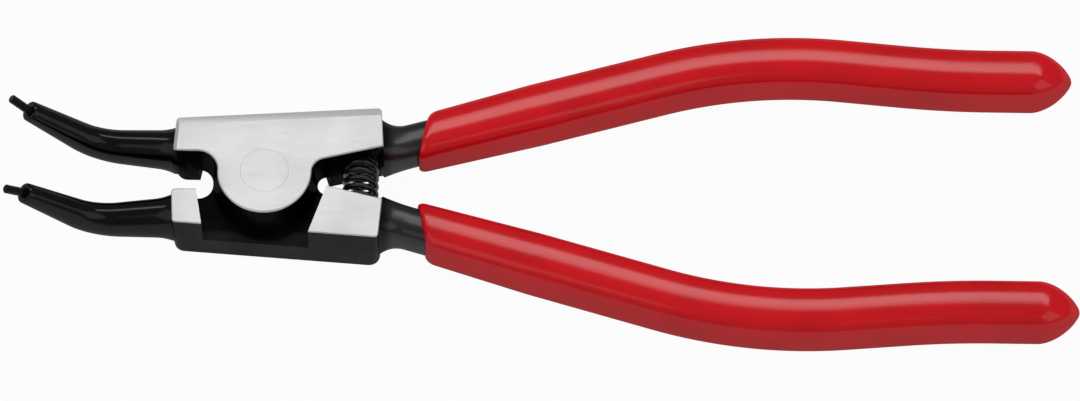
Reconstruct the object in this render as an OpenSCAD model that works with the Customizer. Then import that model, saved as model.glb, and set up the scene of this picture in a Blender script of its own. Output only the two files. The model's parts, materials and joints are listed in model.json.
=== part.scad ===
// External circlip pliers with bent tips.
// Two lap-jointed levers turn on a flush rivet. A coil spring seated in the levers spreads the
// handles, hard pins in the jaw ends enter the ring's lug holes, and both handles are dip-coated.
// The tool lies on its rear face: +X runs to the handles, +Y to the upper lever, +Z up.
// The origin is on the pivot axis, in the plane of the rear face.

/* [Joint] */
// Thickness of the joint, from the rear face to the front face
joint_t = 11; // [10:0.25:13]
// Radius of the round cheek that each lever lays over the other
cheek_r = 8; // [7:0.25:9]
// Distance from the pivot to the jaw end of the joint body
body_front = 15.6; // [15:0.1:18]
// Distance from the pivot to the handle end of the joint body
body_back = 20.1; // [20:0.1:25]
// Distance from the centre line to the parting line of the outer wall, at the jaw end
outer_front = 10.3; // [9.8:0.1:12]
// Distance from the centre line to the parting line of the outer wall, at the handle end
outer_back = 12.8; // [12.2:0.1:15]
// Distance from the centre line to the inner wall on the jaw side
inner_front = 3.7; // [3.4:0.1:4.5]
// Angle of the inner wall on the handle side, which points at the pivot
inner_angle = 14.2; // [10:0.1:17]
// Radius of the hollow between the cheek and the inner wall, on the jaw side
front_fillet = 3.5; // [2:0.1:3.6]
// Radius of the same hollow on the handle side
back_fillet = 2.6; // [1:0.1:3]
// Radius of the body's corners at the tool's front face
front_corner_r = 0.7; // [0.5:0.1:1.2]
// Radius of the same corners at the tool's rear face
rear_corner_r = 2; // [1:0.1:2.4]
// Half width, at the pivot, of the channel for the other lever's cheek, on the jaw side
channel_front = 12.2; // [11.5:0.1:12.6]
// Half width, at the pivot, of the same channel on the handle side
channel_back = 11.6; // [11.2:0.1:12.2]
// Lean of the channel's wall on the jaw side
channel_lean_front = 10; // [0:1:14]
// Lean of the channel's wall on the handle side
channel_lean_back = 18; // [10:1:20]
// Gap between the two cheeks
cheek_gap = 0.06; // [0.02:0.01:0.2]
// Draft of the forged cheek and inner walls, from the ground faces to the parting line
draft_in = 10; // [5:1:12]
// Draft of the forged outer wall, from the parting line to the ground faces
draft_out = 2; // [0:0.5:5]
// Width of the bevel along the outer edge of the ground plate
bevel_w = 1.5; // [0.5:0.1:2]
// Slope of that bevel, down from the ground face
bevel_slope = 13; // [10:1:45]
// Width of the bevel at the jaw end of the ground plate
end_bevel_w = 0.6; // [0.4:0.1:1.5]
// Slope of the jaw-end bevel
end_bevel_slope = 40; // [20:1:50]

/* [Rivet] */
// Radius of the rivet's shank
rivet_r = 3; // [2.5:0.1:3.5]
// Extra radius of the flush countersunk heads
head_flare = 1.1; // [0.5:0.1:1.5]
// Depth of the countersinks
head_depth = 1.3; // [0.8:0.1:2]
// Running clearance between the rivet and the lever that turns on it
rivet_clear = 0.03; // [0.01:0.01:0.08]

/* [Jaws] */
// Distance from the centre line to the jaw's axis, where it leaves the body
jaw_y = 6.5; // [6.3:0.1:7.2]
// Splay of each jaw away from the centre line
jaw_splay = 3.3; // [0:0.1:6]
// Length of the jaw before the bend
jaw_straight = 8.8; // [6:0.2:14]
// Bend of the jaw out of the plane of the tool
jaw_bend = 44; // [20:1:60]
// Radius of that bend
jaw_bend_r = 11; // [9:0.5:16]
// Length of the jaw after the bend
jaw_nose = 11.4; // [8:0.1:16]
// Width of the jaw where it leaves the body
jaw_w = 6.6; // [5.8:0.1:6.8]
// Height of the jaw where it leaves the body
jaw_h = 8.4; // [6.5:0.1:9]
// Diameter of the jaw at its blunt end
jaw_end_d = 3.5; // [3.2:0.1:4]

/* [Tip pins] */
// Diameter of the tip pins
tip_d = 1.5; // [1.2:0.1:2]
// Length of each pin beyond the jaw's end
tip_len = 4.1; // [3:0.1:7]
// Length of each pin's shank inside the jaw
tip_seat = 4.5; // [3:0.1:6]
// Extra diameter of the shank, which stands out of the jaw as a small collar
tip_step = 0.5; // [0.4:0.05:0.7]
// Outward set of each pin, which keeps the ring from slipping off
tip_splay = 9; // [0:1:10]
// Chamfer on the pin's free end
tip_chamfer = 0.2; // [0.1:0.05:0.4]

/* [Handles] */
// Distance from the centre line to the handle's axis, where it leaves the body
handle_y = 6.6; // [6.5:0.1:7.5]
// Angle of the handle's straight part to the centre line
handle_angle = 16.7; // [14:0.1:20]
// Length of the straight part
handle_straight = 49.6; // [40:0.1:60]
// Radius of the palm bow
bow_r = 83; // [60:1:120]
// Inward angle of the handle after the bow
tail_angle = 5.2; // [2:0.1:7]
// Length of the straight after the bow
tail_straight = 10.5; // [5:0.5:20]
// Radius of the reverse curve that brings the end parallel to the centre line
reverse_r = 165; // [120:5:240]
// Length of the parallel end
tail_end = 14.4; // [10:0.1:25]
// Width of the steel core in the plane of the tool
core_w = 6.6; // [5.5:0.1:7]
// Height of the steel core
core_h = 7.4; // [6:0.1:8]
// Length over which the core flares into the body
neck_len = 4.8; // [3:0.1:5.5]

/* [Grips] */
// Distance along the handle from the body to the grip's edge
grip_start = 7.2; // [6.5:0.1:12]
// Slant of the grip's edge, with the inner side nearer to the joint
grip_slant = 28; // [0:1:30]
// Thickness of the plastic near its edge
grip_wall_front = 1.05; // [0.8:0.05:1.5]
// Thickness of the plastic on the rest of the handle
grip_wall = 1.5; // [1:0.05:2]
// Length over which the plastic thickens
grip_taper = 20; // [5:1:40]
// Length of the domed end
grip_dome = 7; // [4:0.5:10]
// Solid plastic between the end of the core and the end of the grip
grip_plug = 6; // [4:0.5:9]
// Gap between the core and the plastic
grip_gap = 0.02; // [0.01:0.01:0.05]

/* [Spring] */
// Distance from the pivot to the spring's axis
spring_x = 16.3; // [16:0.1:16.5]
// Outside diameter of the spring
spring_d = 6.3; // [5:0.1:6.6]
// Diameter of its wire
wire_d = 1.05; // [0.6:0.05:1.2]
// Number of turns
spring_turns = 10; // [6:1:10]
// Distance from the centre line to the floor of each seat
seat_y = 8.1; // [7:0.1:9]
// Clearance between the spring and its seats, at the side and at the end
seat_clear = 0.15; // [0.05:0.05:0.3]

/* [Hidden] */

$fn = 48;
mid = joint_t / 2;
press_clear = 0.01;    // between a tip pin and its hole
cut = 1;               // how far a cutting shape runs past the face that it cuts
tip_collar = 0.3;      // how far the shank stands out of the jaw
root_overlap = 2;      // how far jaw and core run into the body
root_flare = 0.5;      // growth of the jaw where it meets the body
root_flare_len = 3;
squareness = 2.9;      // exponent of the rounded oblong section of core and grip
lip_len = 1.6;         // rounded edge of the dip coating
lip_wall = 0.3;        // thickness of the coating at its very edge
root_shrink = 1;       // how much narrower the core starts inside the body
closed_pitch = 1.15;   // rise of the spring's closed end turns, in wire diameters
jaw_edge = 0.35;       // broken edge at the jaw's blunt end
neck_edge = 0.2;       // how far the neck's flare stays inside the outline of the body's end
core_nose = 0.25;      // share of the core's half width lost over its rounded end
dome_round = 1.75;     // how soon the grip's domed end reaches its full width
dome_bulge = 1.35;     // how full it is on the way there
dome_blunt = 0.05;     // share of the width left at its very end
dome_crowd = 1.4;      // how much closer the dome's rings lie towards its end

// Facets of the curved skins: round a section, and along it
jaw_sides = 24;
grip_sides = 24;
core_sides = 20;
wire_sides = 8;
turn_steps = 16;
cheek_steps = 40;
fillet_steps = 8;
corner_steps = 5;
flare_steps = 4;
bend_steps = 6;
neck_steps = 6;
lip_steps = 5;
straight_steps = 4;
bow_steps = 8;
reverse_steps = 4;
dome_steps = 8;

forged = "#26262a";
ground = "#c9c9c7";
hard = "#1d1d20";
dip = "#b5121f";

// Stations after one point, up to and including another
function steps(from, to, n) = [for (i = [1:n]) from + (to - from) * i / n];

// Points along an arc, from angle a0 to a1
function arc(c, r, a0, a1, n) = [for (i = [0:n]) let(a = a0 + (a1 - a0) * i / n) c + r * [cos(a), sin(a)]];

// A path is followed as [x, y, heading]: straight on, or round a bend to the left (+) or right (-)
function ahead(p, len) = [p.x + len * cos(p.z), p.y + len * sin(p.z), p.z];
function round_bend(p, r, turn) =
    let(side = sign(turn), h = p.z + turn)
    [p.x + side * r * (sin(h) - sin(p.z)), p.y - side * r * (cos(h) - cos(p.z)), h];
function arc_len(r, turn) = r * abs(turn) * PI / 180;
function turned(r, len) = len / r * 180 / PI;

// Rounded oblong: 1 at the middle of a side, with the exponent setting how square it is
function oblong(c) = sign(c) * pow(abs(c), 2 / squareness);

// Quarter-round growth from 1 at d = 0 to 0 at d = len, hollow like a fillet
function hollow(d, len) = d >= len ? 0 : 1 - sqrt(1 - pow(1 - max(d, 0) / len, 2));

// Growth from 1 at d = 0 to 0 at d = len, like a forged blend
function blend(d, len) = pow(max(0, 1 - max(d, 0) / len), 2);

// Closed skin over a list of rings with equal numbers of points
module skin(rings) {
    n = len(rings[0]);
    m = len(rings);
    sides = [for (i = [0:m - 2], j = [0:n - 1])
        let(k = (j + 1) % n)
        each [[i * n + j, (i + 1) * n + k, i * n + k], [i * n + j, (i + 1) * n + j, (i + 1) * n + k]]];
    first = [for (j = [0:n - 1]) j];
    last = [for (j = [n - 1:-1:0]) (m - 1) * n + j];
    polyhedron([for (r = rings) each r], concat(sides, [first, last]), convexity = 6);
}

// The joint body: a round cheek in the front half, and behind it a channel for the other lever's
// cheek. The walls are drafted from the parting plane at mid thickness, and the front and rear
// faces are ground flat. Both levers have the same body, the lower one turned over.

// Where the line through p, heading a, meets the line through q, heading b
function meet(p, a, q, b) =
    p + ((q.x - p.x) * sin(b) - (q.y - p.y) * cos(b)) / sin(b - a) * [cos(a), sin(a)];

wall_tilt = atan((outer_back - outer_front) / (body_back + body_front));
front_reach = cheek_r + front_fillet;
back_reach = cheek_r + back_fillet;
fillet_front = [-sqrt(pow(front_reach, 2) - pow(inner_front - front_fillet, 2)), inner_front - front_fillet];
fillet_back_angle = inner_angle - asin(back_fillet / back_reach);
fillet_back = back_reach * [cos(fillet_back_angle), sin(fillet_back_angle)];
cheek_start = atan2(fillet_front.y, fillet_front.x);

// Growth of the inner walls and inset of the outer wall at height z
function grow_in(z) = (mid - abs(z - mid)) * tan(draft_in);
function inset_out(z) = abs(z - mid) * tan(draft_out);

// Corners of the body at height z: jaw end and handle end, each outside and inside
front_end = [-body_front, jaw_y];
front_heading = 90 - jaw_splay;
back_end = [body_back, handle_y];
back_heading = 90 + wall_tilt;
function outer_wall(z) = [-body_front, outer_front - inset_out(z)];
function inner_wall_front(z) = [0, inner_front - grow_in(z)];
function inner_wall_back(z) = grow_in(z) * [sin(inner_angle), -cos(inner_angle)];
function corner_front_out(z) = meet(front_end, front_heading, outer_wall(z), wall_tilt);
function corner_front_in(z) = meet(front_end, front_heading, inner_wall_front(z), 0);
function corner_back_in(z) = meet(back_end, back_heading, inner_wall_back(z), inner_angle);
function corner_back_out(z) = meet(back_end, back_heading, outer_wall(z), wall_tilt);

// Radius of the corners at height z of a body that may be turned over
function corner_r(z, turned_over) =
    let(height = turned_over == 1 ? joint_t - z : z)
    rear_corner_r + (front_corner_r - rear_corner_r) * height / joint_t;

// Corner p turned into an arc, between the wall that arrives with heading a and the one that leaves with b
function rounded(p, a, b, r) =
    arc(p - r * tan((b - a) / 2) * [cos(a), sin(a)] + r * [-sin(a), cos(a)], r, a - 90, b - 90, corner_steps);

function at_height(outline, z) = [for (p = outline) [p.x, p.y, z]];

function body_ring(z, r) = at_height(concat(
    rounded(corner_front_out(z), 180 + wall_tilt, 180 + front_heading, r),
    rounded(corner_front_in(z), 180 + front_heading, 360, r),
    arc(fillet_front, front_fillet - grow_in(z), 90, cheek_start - 180, fillet_steps),
    arc([0, 0], cheek_r + grow_in(z), cheek_start, 360 + fillet_back_angle, cheek_steps),
    arc(fillet_back, back_fillet - grow_in(z), fillet_back_angle + 180, inner_angle + 90, fillet_steps),
    [corner_back_in(z)],
    rounded(corner_back_out(z), back_heading, 180 + wall_tilt, r)), z);

// Everything beyond a sloping plane: edge at the local X axis, slope down towards +Y
module slope_cut(slope) {
    reach = 2 * (body_front + body_back);
    rotate([-slope, 0, 0]) translate([-reach / 2, -reach / 2, 0]) cube(reach);
}

module bevels() {
    edge = outer_wall(joint_t);
    translate([edge.x, edge.y, joint_t]) rotate([0, 0, wall_tilt])
        translate([0, -bevel_w, 0]) slope_cut(bevel_slope);
    translate([front_end.x, front_end.y, joint_t]) rotate([0, 0, front_heading])
        translate([0, -end_bevel_w, 0]) slope_cut(end_bevel_slope);
}

module channel() {
    reach = body_front + body_back;
    front_lean = reach * tan(channel_lean_front);
    back_lean = reach * tan(channel_lean_back);
    translate([0, 0, -2 * cut]) linear_extrude(mid + cheek_gap / 2 + 2 * cut) polygon([
        [-channel_front - front_lean, -reach], [channel_back + back_lean, -reach],
        [channel_back, 0], [channel_back - outer_back * tan(channel_lean_back), outer_back],
        [channel_back - outer_back * tan(channel_lean_back), reach],
        [-channel_front + outer_back * tan(channel_lean_front), reach],
        [-channel_front + outer_back * tan(channel_lean_front), outer_back], [-channel_front, 0]]);
}

module ground_off() {
    reach = 2 * (body_front + body_back);
    for (z = [joint_t, -reach]) translate([-reach / 2, -reach / 2, z]) cube(reach);
}

module body(turned_over) {
    difference() {
        skin([for (z = [-cut, mid, joint_t + cut]) body_ring(z, corner_r(z, turned_over))]);
        channel();
        ground_off();
        bevels();
    }
}

module spring_seat() {
    translate([spring_x, 0, mid]) rotate([-90, 0, 0]) cylinder(d = spring_d + 2 * seat_clear, h = seat_y);
}

// Through hole and countersink, opening at the front face
module rivet_hole(clear) {
    translate([0, 0, -cut]) cylinder(r = rivet_r + clear, h = joint_t + 2 * cut);
    translate([0, 0, joint_t - head_depth])
        cylinder(r1 = rivet_r + clear, r2 = rivet_r + head_flare + clear, h = head_depth);
    translate([0, 0, joint_t - press_clear]) cylinder(r = rivet_r + head_flare + clear, h = cut);
}

// Jaw, along +X from the body's end, bending up

jaw_bend_start = [jaw_straight, 0, 0];
jaw_bend_end = round_bend(jaw_bend_start, jaw_bend_r, jaw_bend);
jaw_bend_len = arc_len(jaw_bend_r, jaw_bend);
jaw_len = jaw_straight + jaw_bend_len + jaw_nose;
jaw_tip = ahead(jaw_bend_end, jaw_nose);

function jaw_at(s) =
    s <= jaw_straight ? ahead([0, 0, 0], s)
    : s <= jaw_straight + jaw_bend_len
        ? round_bend(jaw_bend_start, jaw_bend_r, turned(jaw_bend_r, s - jaw_straight))
        : ahead(jaw_bend_end, s - jaw_straight - jaw_bend_len);

function jaw_half(root, s) =
    root / 2 + (jaw_end_d - root) / 2 * max(s, 0) / jaw_len + root_flare * blend(s, root_flare_len);

function jaw_ring(s, shrink) =
    let(p = jaw_at(s), a = jaw_half(jaw_w, s) - shrink, b = jaw_half(jaw_h, s) - shrink)
    [for (i = [0:jaw_sides - 1])
        let(t = 360 * i / jaw_sides)
        [p.x - sin(p.z) * b * sin(t), a * cos(t), p.y + cos(p.z) * b * sin(t)]];

jaw_stations = concat(
    [-root_overlap, 0], steps(0, root_flare_len, flare_steps), steps(root_flare_len, jaw_straight, 2),
    steps(jaw_straight, jaw_straight + jaw_bend_len, bend_steps), [jaw_len - jaw_nose / 2, jaw_len - jaw_edge]);

module jaw() {
    skin(concat([for (s = jaw_stations) jaw_ring(s, 0)], [jaw_ring(jaw_len, jaw_edge)]));
}

// From the jaw's own frame to its place on the upper lever
module on_jaw_root() {
    translate([-body_front, jaw_y, mid]) rotate([0, 0, 180 - jaw_splay]) children();
}

// From the pin's own frame, along +Z with its shoulder at zero, to the jaw's end
module on_jaw_end() {
    on_jaw_root() translate([jaw_tip.x, 0, jaw_tip.y])
        rotate([0, -jaw_bend, 0]) rotate([0, 0, -tip_splay]) rotate([0, 90, 0]) children();
}

// Handle core

handle_from = [body_back, handle_y, handle_angle];
bow_from = ahead(handle_from, handle_straight);
bow_turn = handle_angle + tail_angle;
bow_len = arc_len(bow_r, bow_turn);
tail_from = round_bend(bow_from, bow_r, -bow_turn);
reverse_from = ahead(tail_from, tail_straight);
reverse_len = arc_len(reverse_r, tail_angle);
end_from = round_bend(reverse_from, reverse_r, tail_angle);
bow_s = handle_straight + bow_len;
reverse_s = bow_s + tail_straight;
end_s = reverse_s + reverse_len;
handle_len = end_s + tail_end;
core_len = handle_len - grip_plug;

function handle_at(s) =
    s <= handle_straight ? ahead(handle_from, s)
    : s <= bow_s ? round_bend(bow_from, bow_r, -turned(bow_r, s - handle_straight))
    : s <= reverse_s ? ahead(tail_from, s - bow_s)
    : s <= end_s ? round_bend(reverse_from, reverse_r, turned(reverse_r, s - reverse_s))
    : ahead(end_from, s - end_s);

// Section across the handle: shift moves it sideways, slant leans it along the handle
function handle_ring(s, half_w, half_h, sides, shift = 0, slant = 0) =
    let(p = handle_at(s))
    [for (i = [0:sides - 1])
        let(t = 360 * i / sides, u = half_w * oblong(cos(t)) + shift, v = half_h * oblong(sin(t)))
        [p.x - sin(p.z) * u + slant * u * cos(p.z), p.y + cos(p.z) * u + slant * u * sin(p.z), mid + v]];

// The neck flares from the core to the body's end, outwards and both ways in height
neck_tilt = handle_angle - wall_tilt;
neck_out = (corner_back_out(0) - back_end) * [-sin(wall_tilt), cos(wall_tilt)] * cos(neck_tilt)
    - corner_r(mid, 0) / 2 - neck_edge;
neck_grow_w = (neck_out - core_w / 2) / 2;
neck_grow_h = mid - neck_edge - core_h / 2;

function core_ring(s, grow) =
    let(f = blend(s, neck_len), d = core_len - s, loss = core_nose * max(0, core_w / 2 - d))
    handle_ring(s, core_w / 2 + grow - loss + f * neck_grow_w, core_h / 2 + grow - loss + f * neck_grow_h,
        core_sides, f * neck_grow_w, tan(neck_tilt) * max(0, 1 - s / neck_len));

// First ring of the core, well inside the body
core_root = handle_ring(-root_overlap, core_w / 2 - root_shrink, core_h / 2, core_sides,
    neck_grow_w, tan(neck_tilt));

neck_stations = [for (s = steps(0, 1, neck_steps)) neck_len * pow(s, 2)];
handle_stations = concat(
    steps(neck_len, handle_straight, straight_steps), steps(handle_straight, bow_s, bow_steps),
    steps(reverse_s, end_s, reverse_steps));
core_end_stations = [core_len - core_w / 2, core_len];

module core() {
    skin(concat([core_root],
        [for (s = concat([0], neck_stations, handle_stations, core_end_stations)) core_ring(s, 0)]));
}

// Dip-coated grip

function coat(s) =
    let(d = s - grip_start, full = grip_wall_front + (grip_wall - grip_wall_front) * min(d / grip_taper, 1))
    full - (full - lip_wall) * hollow(d, lip_len);
function fading_slant(s) = tan(grip_slant) * max(0, 1 - (s - grip_start) / grip_taper);

grip_stations = concat(
    [grip_start], [for (s = steps(0, 1, lip_steps)) grip_start + lip_len * pow(s, 2)],
    steps(grip_start + lip_len, handle_straight, straight_steps + 1),
    steps(handle_straight, bow_s, bow_steps + 1), steps(bow_s, reverse_s, 2),
    steps(reverse_s, end_s, reverse_steps + 1));

module grip_outside() {
    skin(concat(
        [for (s = grip_stations)
            handle_ring(s, core_w / 2 + coat(s), core_h / 2 + coat(s), grip_sides, 0, fading_slant(s))],
        [for (i = [dome_steps:-1:0])
            let(t = pow(i / dome_steps, dome_crowd),
                f = dome_blunt + (1 - dome_blunt) * pow(1 - pow(1 - t, dome_round), 1 / dome_bulge))
            handle_ring(handle_len - grip_dome * t, f * (core_w / 2 + grip_wall),
                f * (core_h / 2 + grip_wall), grip_sides)]));
}

module grip_inside() {
    skin([for (s = concat([neck_len / 2, neck_len], handle_stations, core_end_stations + [0, grip_gap]))
        core_ring(s, grip_gap)]);
}

module grip() {
    color(dip) difference() {
        grip_outside();
        grip_inside();
    }
}

// Levers

module lever(turned_over, rivet_play) {
    color(forged) difference() {
        union() {
            mirror([0, turned_over, 0]) {
                on_jaw_root() jaw();
                core();
            }
            translate([0, 0, turned_over * joint_t]) rotate([turned_over * 180, 0, 0]) body(turned_over);
        }
        mirror([0, turned_over, 0]) {
            spring_seat();
            on_jaw_end() translate([0, 0, -tip_seat - press_clear])
                cylinder(d = tip_d + tip_step + 2 * press_clear, h = tip_seat + cut);
        }
        translate([0, 0, turned_over * joint_t]) rotate([turned_over * 180, 0, 0]) rivet_hole(rivet_play);
    }
}

module upper_arm() {
    lever(0, rivet_clear);
}

module lower_arm() {
    lever(1, press_clear);
}

module pivot_rivet() {
    head_r = rivet_r + head_flare;
    color(ground) union() {
        cylinder(r = rivet_r, h = joint_t);
        cylinder(r1 = head_r, r2 = rivet_r, h = head_depth);
        translate([0, 0, joint_t - head_depth]) cylinder(r1 = rivet_r, r2 = head_r, h = head_depth);
    }
}

// Helix along Y with a closed turn at each end
closed_rise = closed_pitch * wire_d;
spring_run = 2 * (seat_y - seat_clear) - wire_d;
open_rise = (spring_run - 2 * closed_rise) / (spring_turns - 2);
function spring_height(turn) =
    -spring_run / 2 + (turn < 1 ? closed_rise * turn
        : turn < spring_turns - 1 ? closed_rise + open_rise * (turn - 1)
        : spring_run - closed_rise * (spring_turns - turn));

module opening_spring() {
    coil_r = (spring_d - wire_d) / 2;
    color(hard) translate([spring_x, 0, mid])
        skin([for (i = [0:spring_turns * turn_steps])
            let(turn = i / turn_steps, a = 360 * turn)
            [for (j = [0:wire_sides - 1])
                let(t = 360 * j / wire_sides, r = coil_r + wire_d / 2 * cos(t))
                [r * cos(a), spring_height(turn) + wire_d / 2 * sin(t), r * sin(a)]]]);
}

module tip() {
    color(hard) on_jaw_end() union() {
        translate([0, 0, -tip_seat]) cylinder(d = tip_d + tip_step, h = tip_seat + tip_collar);
        cylinder(d = tip_d, h = tip_len - tip_chamfer);
        translate([0, 0, tip_len - tip_chamfer])
            cylinder(d1 = tip_d, d2 = tip_d - 2 * tip_chamfer, h = tip_chamfer);
    }
}

module upper_tip() {
    tip();
}

module lower_tip() {
    mirror([0, 1, 0]) tip();
}

module upper_grip() {
    grip();
}

module lower_grip() {
    mirror([0, 1, 0]) grip();
}

upper_arm();
lower_arm();
pivot_rivet();
opening_spring();
upper_tip();
lower_tip();
upper_grip();
lower_grip();
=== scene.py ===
"""External circlip pliers with bent tips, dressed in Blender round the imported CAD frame.

The two levers are black forgings with bright ground joint faces, a flush rivet, a coil spring,
slim tip pins and red dip-coated handles. Sizes are in millimetres here and in metres in the meshes.
"""

from __future__ import annotations

import json
import logging
import math
from contextlib import contextmanager
from dataclasses import dataclass, field
from enum import Enum, IntEnum
from typing import Any, Callable, Iterator, Sequence

import bmesh
import bpy
import numpy as np
from mathutils import Matrix, Vector

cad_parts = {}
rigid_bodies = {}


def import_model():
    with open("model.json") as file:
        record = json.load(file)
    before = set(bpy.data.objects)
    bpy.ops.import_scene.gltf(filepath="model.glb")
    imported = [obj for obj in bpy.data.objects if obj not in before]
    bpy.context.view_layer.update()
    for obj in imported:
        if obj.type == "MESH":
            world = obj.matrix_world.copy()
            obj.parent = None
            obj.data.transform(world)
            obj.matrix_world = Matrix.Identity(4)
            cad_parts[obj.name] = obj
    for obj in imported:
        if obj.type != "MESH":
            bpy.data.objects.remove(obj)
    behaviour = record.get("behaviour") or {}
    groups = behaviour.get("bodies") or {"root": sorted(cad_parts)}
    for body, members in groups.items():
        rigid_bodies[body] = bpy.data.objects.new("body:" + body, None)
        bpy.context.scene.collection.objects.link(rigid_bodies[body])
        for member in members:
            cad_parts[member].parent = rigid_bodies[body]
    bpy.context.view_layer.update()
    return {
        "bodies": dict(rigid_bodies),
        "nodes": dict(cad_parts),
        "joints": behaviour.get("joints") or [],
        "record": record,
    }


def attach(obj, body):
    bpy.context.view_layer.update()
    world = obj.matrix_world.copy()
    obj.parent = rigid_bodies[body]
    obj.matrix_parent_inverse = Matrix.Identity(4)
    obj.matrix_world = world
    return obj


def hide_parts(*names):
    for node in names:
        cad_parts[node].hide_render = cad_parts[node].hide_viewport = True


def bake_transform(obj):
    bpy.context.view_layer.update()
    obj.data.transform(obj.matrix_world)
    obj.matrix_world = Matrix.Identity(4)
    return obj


MM = 0.001
SLIVER = 0.004 * MM
WELD = 0.001 * MM
NOISE_MID = 0.5
LOG = logging.getLogger("circlip_pliers")

Colour = tuple[float, float, float]
Place = tuple[float, float, float]
Station = tuple[float, float, float]
Leg = tuple[float, float]


class Side(Enum):
    """Which lever a piece belongs to."""

    UPPER = "upper"
    LOWER = "lower"

    @property
    def body(self) -> str:
        """Name of the CAD body that the lever's pieces ride on."""
        return f"{self.value}_lever"

    @property
    def y_sign(self) -> int:
        """Side of the centre line on which the lever's jaw and handle lie."""
        return 1 if self is Side.UPPER else -1


class Zone(IntEnum):
    """Finishes of a forged lever, in the order of its material slots."""

    FORGED = 0
    GROUND = 1
    # The channel's floor takes a near sheenless black as painted shade.
    CHANNEL = 2
    JAW = 3


class Signal:
    """A node's output that takes part in Python expressions; each operator adds one Math node."""

    def __init__(self, nodes: NodeMaker, socket: bpy.types.NodeSocket) -> None:
        """Keeps the socket and the maker of its tree."""
        self.nodes = nodes
        self.socket = socket

    def math(self, operation: str, *values: Signal | float) -> Signal:
        """Adds one Math node.

        Args:
            operation: Blender's name of the operation.
            values: The node's inputs in order, as signals or plain numbers.

        Returns:
            The node's result.
        """
        inputs = dict(enumerate(values))
        return self.nodes.make("ShaderNodeMath", {"operation": operation}, inputs)[0]

    def __add__(self, other: Signal | float) -> Signal:
        """Sum."""
        return self.math("ADD", self, other)

    def __radd__(self, other: float) -> Signal:
        """Sum with a number in front."""
        return self.math("ADD", other, self)

    def __sub__(self, other: Signal | float) -> Signal:
        """Difference."""
        return self.math("SUBTRACT", self, other)

    def __rsub__(self, other: float) -> Signal:
        """Difference from a number in front."""
        return self.math("SUBTRACT", other, self)

    def __mul__(self, other: Signal | float) -> Signal:
        """Product."""
        return self.math("MULTIPLY", self, other)

    def __rmul__(self, other: float) -> Signal:
        """Product with a number in front."""
        return self.math("MULTIPLY", other, self)

    def __truediv__(self, other: Signal | float) -> Signal:
        """Quotient."""
        return self.math("DIVIDE", self, other)

    def __pow__(self, other: Signal | float) -> Signal:
        """Power."""
        return self.math("POWER", self, other)

    def at_least(self, other: Signal | float) -> Signal:
        """The larger of the two."""
        return self.math("MAXIMUM", self, other)

    def at_most(self, other: Signal | float) -> Signal:
        """The smaller of the two."""
        return self.math("MINIMUM", self, other)

    def clamped(self) -> Signal:
        """The value held between 0 and 1."""
        return self.at_least(0.0).at_most(1.0)

    def below(self, other: Signal | float) -> Signal:
        """1 where the value is below the other, else 0."""
        return self.math("LESS_THAN", self, other)

    def call(self, operation: str) -> Signal:
        """A Math operation of one input, such as SINE or ABSOLUTE."""
        return self.math(operation, self)

    def ramp(self, low: float, high: float) -> Signal:
        """Adds a smooth step.

        Args:
            low: Where the step starts, at 0.
            high: Where it ends, at 1.

        Returns:
            The step's value.
        """
        return self.nodes.make(
            "ShaderNodeMapRange",
            {"interpolation_type": "SMOOTHSTEP"},
            {"Value": self, "From Min": low, "From Max": high},
        )["Result"]


class Outputs:
    """Outputs of one node, by name or by place."""

    def __init__(self, nodes: NodeMaker, node: bpy.types.Node) -> None:
        """Keeps the node and the maker of its tree."""
        self.nodes = nodes
        self.node = node

    def __getitem__(self, key: str | int) -> Signal:
        """One output as a signal."""
        return Signal(self.nodes, self.node.outputs[key])


@dataclass
class NodeMaker:
    """Adds nodes to one shader or geometry tree."""

    tree: bpy.types.NodeTree

    def make(
        self,
        kind: str,
        settings: dict[str, Any] | None = None,
        inputs: dict[str | int, Any] | None = None,
    ) -> Outputs:
        """Adds a node.

        Args:
            kind: Blender's node type.
            settings: Properties of the node, set before its sockets.
            inputs: Values or signals of its input sockets, by name or place.

        Returns:
            The node's outputs.
        """
        node = self.tree.nodes.new(kind)
        for name, value in (settings or {}).items():
            setattr(node, name, value)
        for key, value in (inputs or {}).items():
            socket = node.inputs[key]
            if isinstance(value, Signal):
                self.tree.links.new(value.socket, socket)
            else:
                socket.default_value = value
        return Outputs(self, node)

    def mix_colour(self, share: Signal, first: Any, second: Any) -> Signal:
        """Mixes two colours. The Mix node's sockets share their names, so they go by place.

        Args:
            share: Share of the second colour.
            first: Colour or signal shown at 0.
            second: Colour or signal shown at 1.

        Returns:
            The mixed colour.
        """
        factor, colour_a, colour_b, result = 0, 6, 7, 2
        inputs = {factor: share, colour_a: first, colour_b: second}
        return self.make("ShaderNodeMix", {"data_type": "RGBA"}, inputs)[result]


def empty_tree(owner: bpy.types.Material | bpy.types.World) -> NodeMaker:
    """Gives a material or a world an empty node tree.

    Args:
        owner: The material or world.

    Returns:
        The maker of its nodes.
    """
    owner.use_nodes = True
    owner.node_tree.nodes.clear()
    return NodeMaker(owner.node_tree)


def rgba(colour: Sequence[float]) -> tuple[float, float, float, float]:
    """A colour with full cover."""
    return (colour[0], colour[1], colour[2], 1.0)


@dataclass(frozen=True)
class Noise:
    """A noise pattern: blotches in a millimetre, finer octaves, and a scale that draws it out."""

    per_mm: float
    detail: float
    stretch: Place = (1, 1, 1)

    def make(self, nodes: NodeMaker, place: Signal) -> Signal:
        """Adds the pattern.

        Args:
            nodes: Maker of the material's tree.
            place: Coordinates in metres.

        Returns:
            The noise value, around NOISE_MID.
        """
        scaled = nodes.make("ShaderNodeMapping", {}, {"Vector": place, "Scale": self.stretch})
        return nodes.make(
            "ShaderNodeTexNoise",
            {},
            {"Vector": scaled["Vector"], "Scale": self.per_mm / MM, "Detail": self.detail},
        )[0]


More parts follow.
